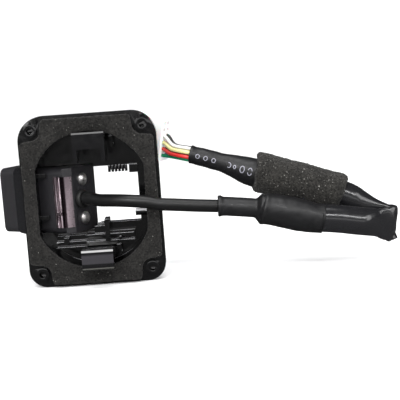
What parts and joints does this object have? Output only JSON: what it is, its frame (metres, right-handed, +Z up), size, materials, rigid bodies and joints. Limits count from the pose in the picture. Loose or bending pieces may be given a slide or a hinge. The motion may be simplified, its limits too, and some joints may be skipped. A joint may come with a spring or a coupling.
{
  "type": "backup camera kit",
  "caption": "Panel-mounted reversing camera in a flanged snap-in bezel with a foam gasket, and a folded lead that ends in a multi-way plug.",
  "frame": {"origin": "centre of the flange, on the face that carries the gasket", "axes": "+X across the flange towards the lead, +Y out of the vehicle panel towards the lens side, +Z up the flange"},
  "size_m": [0.129, 0.0376, 0.0574],
  "materials": {
    "bezel_black": "glossy moulded black ABS",
    "cover_black": "glossy moulded black ABS",
    "clip_black": "glossy moulded black acetal",
    "gasket_foam": "open charcoal foam, fine cells",
    "camera_black": "satin black moulding",
    "ring_black": "gloss black ring",
    "seal_rubber": "soft black rubber",
    "screw_steel": "nickel-plated steel",
    "shield_metal": "brushed plated sheet with polished beads",
    "jacket_black": "satin PVC jacket",
    "lens_glass": "coated clear glass",
    "filter_glass": "blue-green filter glass",
    "chip_black": "glass-topped sensor chip",
    "board_green": "green solder mask",
    "pillar_brass": "plated brass",
    "plug_white": "natural white nylon",
    "copper_core": "tinned copper strands",
    "crimp_tin": "tinned crimp barrels",
    "wire_mixed": "coloured PVC insulation",
    "shrink_black": "matt heat-shrink sleeving",
    "tube_black": "glossy thin PVC sleeving",
    "wrap_foam": "open charcoal foam",
    "wire_red": "red PVC insulation",
    "wire_white": "white PVC insulation",
    "wire_black": "black PVC insulation",
    "wire_pink": "pink PVC insulation",
    "wire_green": "green PVC insulation",
    "wire_blue": "blue PVC insulation",
    "wire_brown": "brown PVC insulation",
    "wire_yellow": "yellow PVC insulation"
  },
  "bodies": {
    "bezel_and_camera": {"bezel": "bezel_black", "foam_gasket": "gasket_foam", "front_cover": "cover_black", "camera_body": "camera_black", "lens_hood": "camera_black", "hood_ring": "ring_black", "rear_cover": "camera_black", "rear_seal": "seal_rubber", "rear_screws": "screw_steel", "shield_plate": "shield_metal", "cable_boot": "seal_rubber", "lead_stub": "jacket_black", "lens_barrel": "camera_black", "barrel_seal": "seal_rubber", "front_lens": "lens_glass", "middle_lens": "lens_glass", "rear_lens": "lens_glass", "lens_retainer": "camera_black", "ir_filter": "filter_glass", "image_sensor": "chip_black", "sensor_board": "board_green", "interface_board": "board_green", "board_pillars": "pillar_brass", "board_socket": "plug_white"},
    "upper_clip": {"upper_clip": "clip_black"},
    "lower_clip": {"lower_clip": "clip_black"},
    "front_leg": {"lead_cable": "jacket_black", "lead_cores": "copper_core", "splice_crimps": "crimp_tin", "lead_wires": "wire_mixed", "lead_shrink": "shrink_black", "lead_tube": "tube_black"},
    "return_leg": {"return_tube": "tube_black", "return_wires": "wire_mixed", "foam_wrap": "wrap_foam", "marked_shrink": "shrink_black"},
    "plug": {"wire_1": "wire_yellow", "wire_2": "wire_white", "wire_3": "wire_black", "wire_4": "wire_pink", "wire_5": "wire_brown", "wire_6": "wire_blue", "wire_7": "wire_green", "wire_8": "wire_red", "plug_housing": "plug_white", "plug_terminals": "pillar_brass", "terminal_lock": "plug_white"},
    "latch": {"plug_latch": "plug_white"}
  },
  "joints": [
    {"name": "upper_clip_flex", "type": "hinge", "parent": "bezel_and_camera", "child": "upper_clip", "pos_m": [0.0012, 0.0068, 0.0185], "axis": [1, 0, 0], "range_deg": [0, 7]},
    {"name": "lower_clip_flex", "type": "hinge", "parent": "bezel_and_camera", "child": "lower_clip", "pos_m": [0.0012, 0.0068, -0.0185], "axis": [-1, 0, 0], "range_deg": [0, 7]},
    {"name": "lead_lift", "type": "hinge", "parent": "bezel_and_camera", "child": "front_leg", "pos_m": [-0.00046, 0.0015, 0], "axis": [0, -1, 0], "range_deg": [-12, 18]},
    {"name": "fold_open", "type": "hinge", "parent": "front_leg", "child": "return_leg", "pos_m": [0.0975, 0.00064, -0.013], "axis": [0, 0, -1], "range_deg": [0, 170]},
    {"name": "plug_bend", "type": "hinge", "parent": "return_leg", "child": "plug", "pos_m": [0.03375, 0.00985, 0.01192], "axis": [0, 0, -1], "range_deg": [0, 25]},
    {"name": "latch_press", "type": "hinge", "parent": "plug", "child": "latch", "pos_m": [0.02161, 0.02184, 0.01857], "axis": [-0.1669, 0.0925, -0.9816], "range_deg": [0, 5]}
  ]
}
